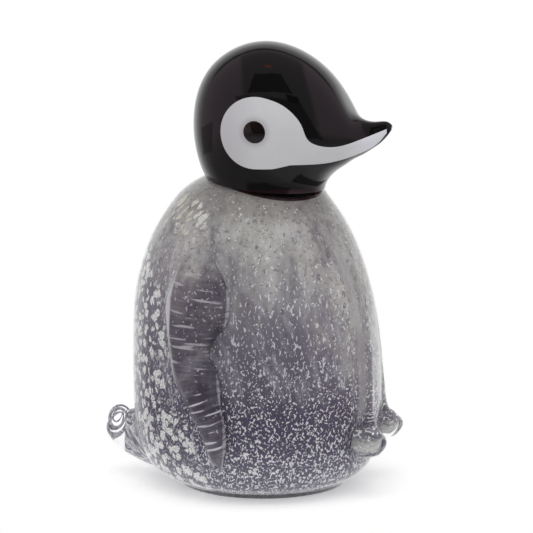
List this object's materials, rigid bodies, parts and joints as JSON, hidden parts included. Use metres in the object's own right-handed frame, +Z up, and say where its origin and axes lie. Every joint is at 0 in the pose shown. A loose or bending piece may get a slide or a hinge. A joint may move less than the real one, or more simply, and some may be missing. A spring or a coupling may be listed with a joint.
{
  "type": "penguin figurine",
  "caption": "Solid hand-worked glass penguin chick figurine: clear-cased speckled body, glossy dark head with pale face patches, small wings, feet and a curled tail.",
  "frame": {"origin": "centre of the flat standing face under the base pad", "axes": "+Z up; the chick looks along -Y; its left side is +X; the plane X = 0 mirrors it"},
  "size_m": [0.0876, 0.1009, 0.1497],
  "materials": {
    "core_glass": "smoky lavender-grey glass under a cream-white veil, flecked with crackled silver leaf",
    "clear_glass": "clear fire-polished glass",
    "smoky_glass": "smoky clear glass with fine white streaks",
    "black_glass": "glossy opaque black",
    "white_glass": "glossy opaque white",
    "eye_glass": "glossy dark brown-black"
  },
  "bodies": {
    "root": {"body_core": "core_glass", "body_casing": "clear_glass", "base_pad": "clear_glass", "head": "black_glass", "face_patch_left": "white_glass", "face_patch_right": "white_glass", "eye_left": "eye_glass", "eye_right": "eye_glass", "wing_left": "smoky_glass", "wing_right": "smoky_glass", "foot_left": "clear_glass", "foot_right": "clear_glass", "tail": "clear_glass"}
  },
  "joints": []
}
